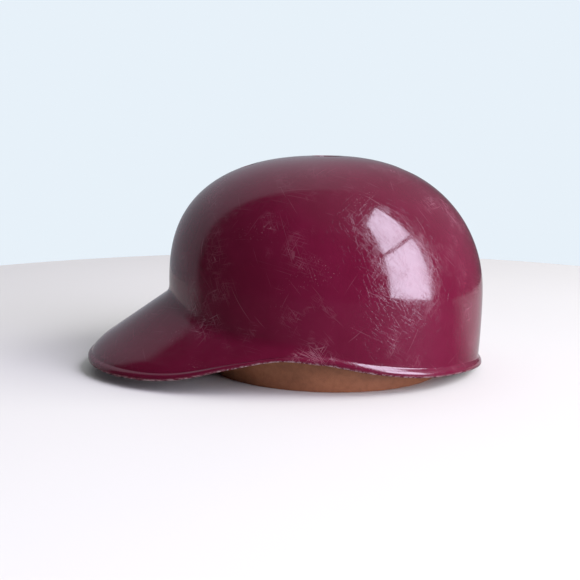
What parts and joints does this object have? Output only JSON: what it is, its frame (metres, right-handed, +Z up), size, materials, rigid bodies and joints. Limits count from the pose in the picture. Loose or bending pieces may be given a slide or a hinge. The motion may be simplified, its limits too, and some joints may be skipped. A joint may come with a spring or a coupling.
{
  "type": "batting helmet",
  "caption": "Hard-shell batting helmet without ear flaps: moulded crown and brim, rolled edge, three vents, foam lining and a leather sweatband.",
  "frame": {"origin": "midway between brim tip and nape, on the helmet's mirror plane, at the sweatband's lower edge it stands on", "axes": "+X towards the nape, the brim points along -X; +Y towards the wearer's right; +Z up"},
  "size_m": [0.2907, 0.1936, 0.1546],
  "materials": {
    "shell_plastic": "glossy, finely scratched",
    "foam": "open-cell foam",
    "lining": "knitted cloth",
    "fibre": "matt fibre sheet",
    "leather": "smooth, worn",
    "tape": "woven tape",
    "rivet_brass": "dull",
    "label": "woven label, blank"
  },
  "bodies": {
    "root": {"shell": "shell_plastic", "crown_pad": "foam", "crown_pad_lining": "lining", "front_pad": "foam", "left_temple_pad": "foam", "right_temple_pad": "foam", "left_side_pad": "foam", "right_side_pad": "foam", "left_rear_pad": "foam", "right_rear_pad": "foam", "headband": "fibre", "headband_splice": "fibre", "splice_rivet_left_lower": "rivet_brass", "splice_rivet_left_upper": "rivet_brass", "splice_rivet_right_lower": "rivet_brass", "splice_rivet_right_upper": "rivet_brass", "sweatband": "leather", "sweatband_seam_tab": "leather", "sweatband_top_binding": "tape", "size_label": "label"}
  },
  "joints": []
}
